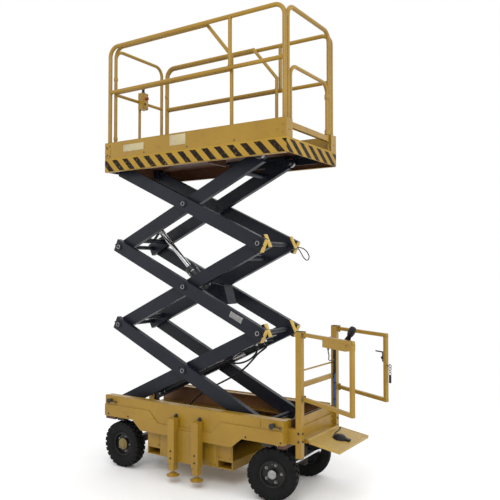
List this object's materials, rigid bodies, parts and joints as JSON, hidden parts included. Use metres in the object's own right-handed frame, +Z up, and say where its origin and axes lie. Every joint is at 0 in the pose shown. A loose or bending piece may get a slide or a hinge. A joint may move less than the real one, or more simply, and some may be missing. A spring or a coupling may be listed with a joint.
{
  "type": "scissor lift",
  "caption": "Self-propelled scissor lift with a striped, railed platform, slide-out deck, stacked crossed arms, jack legs, small tyres and a swing-guarded operator's step.",
  "frame": {"origin": "on the ground, under the middle of the platform, on the machine's middle plane", "axes": "+X towards the operator's station, +Y across to the machine's far side, +Z up"},
  "size_m": [2.6741, 1.1731, 3.9961],
  "materials": {
    "yellow_paint": "satin",
    "black_paint": "satin",
    "stripe_paint": "satin",
    "rubber": "matte",
    "dark_steel": "satin",
    "chrome": "polished",
    "steel": "satin",
    "barrel_paint": "satin",
    "black_rubber": "matte",
    "blue_sleeve": "matte",
    "black_plastic": "matte"
  },
  "bodies": {
    "chassis": {"side_beam_near": "yellow_paint", "side_beam_far": "yellow_paint", "cross_members": "yellow_paint", "belly_box": "yellow_paint", "battery_block": "dark_steel", "pivot_brackets": "yellow_paint", "rear_axle": "dark_steel", "front_axle": "dark_steel", "jack_housing_near": "yellow_paint", "jack_housing_far": "yellow_paint", "station_frame": "yellow_paint", "station_panel": "yellow_paint", "conduit": "black_rubber", "conduit_sleeve": "blue_sleeve"},
    "jack_leg_near_left": {"jack_leg_near_left": "yellow_paint"},
    "jack_leg_near_right": {"jack_leg_near_right": "yellow_paint"},
    "jack_leg_far_left": {"jack_leg_far_left": "yellow_paint"},
    "jack_leg_far_right": {"jack_leg_far_right": "yellow_paint"},
    "knuckle_near": {"knuckle_near": "dark_steel"},
    "knuckle_far": {"knuckle_far": "dark_steel"},
    "tie_rod": {"tie_rod": "chrome"},
    "wheel_rear_near": {"rim_rear_near": "dark_steel", "tyre_rear_near": "rubber"},
    "wheel_rear_far": {"rim_rear_far": "dark_steel", "tyre_rear_far": "rubber"},
    "wheel_front_near": {"rim_front_near": "dark_steel", "tyre_front_near": "rubber"},
    "wheel_front_far": {"rim_front_far": "dark_steel", "tyre_front_far": "rubber"},
    "guard_near": {"guard_near": "yellow_paint", "control_box": "yellow_paint", "control_grip": "black_plastic"},
    "guard_far": {"guard_far": "yellow_paint"},
    "step": {"step_plate": "yellow_paint", "foot_pedal": "black_plastic"},
    "inner_1": {"inner_arms_1": "black_paint", "valve_block": "steel", "hose": "black_rubber"},
    "inner_2": {"inner_arms_2": "black_paint"},
    "inner_3": {"inner_arms_3": "black_paint", "rollers_upper": "steel"},
    "outer_1": {"outer_arms_1": "black_paint", "rollers_lower": "steel"},
    "outer_2": {"outer_arms_2": "black_paint"},
    "outer_3": {"outer_arms_3": "black_paint"},
    "cylinder_barrel": {"cylinder_barrel": "barrel_paint"},
    "cylinder_rod": {"cylinder_rod": "chrome"},
    "platform": {"deck": "yellow_paint", "striped_band": "stripe_paint", "toe_boards": "yellow_paint", "deck_brackets": "black_paint", "side_rail_near": "yellow_paint", "side_rail_far": "yellow_paint", "end_rail": "yellow_paint"},
    "gate": {"gate": "yellow_paint"},
    "extension": {"extension_deck": "yellow_paint", "extension_rails": "yellow_paint", "platform_control": "yellow_paint"}
  },
  "joints": [
    {"name": "lift", "type": "hinge", "parent": "chassis", "child": "inner_1", "pos_m": [-0.955, 0, 0.564], "axis": [0, -1, 0], "range_deg": [-18, 14]},
    {"name": "outer_1_turn", "type": "hinge", "parent": "inner_1", "child": "outer_1", "pos_m": [-0.15875, 0, 0.93869], "axis": [0, -1, 0], "range_deg": [-28.5, 36.5]},
    {"name": "inner_2_turn", "type": "hinge", "parent": "outer_1", "child": "inner_2", "pos_m": [-0.955, 0, 1.31337], "axis": [0, -1, 0], "range_deg": [-36.5, 28.5]},
    {"name": "outer_2_turn", "type": "hinge", "parent": "inner_2", "child": "outer_2", "pos_m": [-0.15875, 0, 1.68806], "axis": [0, -1, 0], "range_deg": [-28.5, 36.5]},
    {"name": "inner_3_turn", "type": "hinge", "parent": "outer_2", "child": "inner_3", "pos_m": [-0.955, 0, 2.06274], "axis": [0, -1, 0], "range_deg": [-36.5, 28.5]},
    {"name": "outer_3_turn", "type": "hinge", "parent": "inner_3", "child": "outer_3", "pos_m": [-0.15875, 0, 2.43743], "axis": [0, -1, 0], "range_deg": [-28.5, 36.5]},
    {"name": "platform_level", "type": "hinge", "parent": "outer_3", "child": "platform", "pos_m": [-0.955, 0, 2.81212], "axis": [0, -1, 0], "range_deg": [-18.5, 14.5]},
    {"name": "barrel_turn", "type": "hinge", "parent": "outer_2", "child": "cylinder_barrel", "pos_m": [-0.01547, 0, 1.5698], "axis": [0, -1, 0], "range_deg": [-3.07, 3.8]},
    {"name": "rod_slide", "type": "slide", "parent": "cylinder_barrel", "child": "cylinder_rod", "axis": [-0.7162, 0, 0.6979], "range_m": [-0.1807, 0.141]},
    {"name": "steer", "type": "hinge", "parent": "chassis", "child": "knuckle_near", "pos_m": [0.785, -0.24, 0.21], "axis": [0, 0, 1], "range_deg": [-50, 20]},
    {"name": "steer_far", "type": "hinge", "parent": "chassis", "child": "knuckle_far", "pos_m": [0.785, 0.24, 0.21], "axis": [0, 0, 1], "range_deg": [-50.5, 20.5]},
    {"name": "tie_rod_turn", "type": "hinge", "parent": "knuckle_near", "child": "tie_rod", "pos_m": [0.91057, -0.20635, 0.21], "axis": [0, 0, 1], "range_deg": [-20.5, 50.5]},
    {"name": "wheel_rear_near_spin", "type": "hinge", "parent": "chassis", "child": "wheel_rear_near", "pos_m": [-0.81, -0.35, 0.21], "axis": [0, 1, 0], "continuous": true},
    {"name": "wheel_front_near_spin", "type": "hinge", "parent": "knuckle_near", "child": "wheel_front_near", "pos_m": [0.81347, -0.34625, 0.21], "axis": [-0.2588, 0.9659, 0], "continuous": true},
    {"name": "jack_near_left", "type": "slide", "parent": "chassis", "child": "jack_leg_near_left", "axis": [0, 0, -1], "range_m": [0, 0.06]},
    {"name": "jack_near_right", "type": "slide", "parent": "chassis", "child": "jack_leg_near_right", "axis": [0, 0, -1], "range_m": [0, 0.06]},
    {"name": "wheel_rear_far_spin", "type": "hinge", "parent": "chassis", "child": "wheel_rear_far", "pos_m": [-0.81, 0.35, 0.21], "axis": [0, 1, 0], "continuous": true},
    {"name": "wheel_front_far_spin", "type": "hinge", "parent": "knuckle_far", "child": "wheel_front_far", "pos_m": [0.75653, 0.34625, 0.21], "axis": [-0.2588, 0.9659, 0], "continuous": true},
    {"name": "jack_far_left", "type": "slide", "parent": "chassis", "child": "jack_leg_far_left", "axis": [0, 0, -1], "range_m": [0, 0.06]},
    {"name": "jack_far_right", "type": "slide", "parent": "chassis", "child": "jack_leg_far_right", "axis": [0, 0, -1], "range_m": [0, 0.06]},
    {"name": "guard_near_swing", "type": "hinge", "parent": "chassis", "child": "guard_near", "pos_m": [1.087, -0.32, 0.825], "axis": [0, 0, -1], "range_deg": [-30, 60]},
    {"name": "guard_far_swing", "type": "hinge", "parent": "chassis", "child": "guard_far", "pos_m": [1.087, 0.32, 0.825], "axis": [0, 0, 1], "range_deg": [0, 120]},
    {"name": "step_fold", "type": "hinge", "parent": "chassis", "child": "step", "pos_m": [1.082, 0, 0.487], "axis": [0, -1, 0], "range_deg": [0, 99]},
    {"name": "gate_swing", "type": "hinge", "parent": "platform", "child": "gate", "pos_m": [0.966, 0.3357, 3.01611], "axis": [0, 0, -1], "range_deg": [0, 85]},
    {"name": "extension_slide", "type": "slide", "parent": "platform", "child": "extension", "axis": [-1, 0, 0], "range_m": [0, 0.9]}
  ],
  "couplings": [
    {"joint": "outer_1_turn", "follows": "lift", "ratio": -2},
    {"joint": "inner_2_turn", "follows": "lift", "ratio": 2},
    {"joint": "outer_2_turn", "follows": "lift", "ratio": -2},
    {"joint": "inner_3_turn", "follows": "lift", "ratio": 2},
    {"joint": "outer_3_turn", "follows": "lift", "ratio": -2},
    {"joint": "platform_level", "follows": "lift", "ratio": 1},
    {"joint": "barrel_turn", "follows": "lift", "ratio": -0.18338},
    {"joint": "rod_slide", "follows": "lift", "m_per_rad": 0.56869},
    {"joint": "steer_far", "follows": "steer", "ratio": 1},
    {"joint": "tie_rod_turn", "follows": "steer", "ratio": -1}
  ]
}
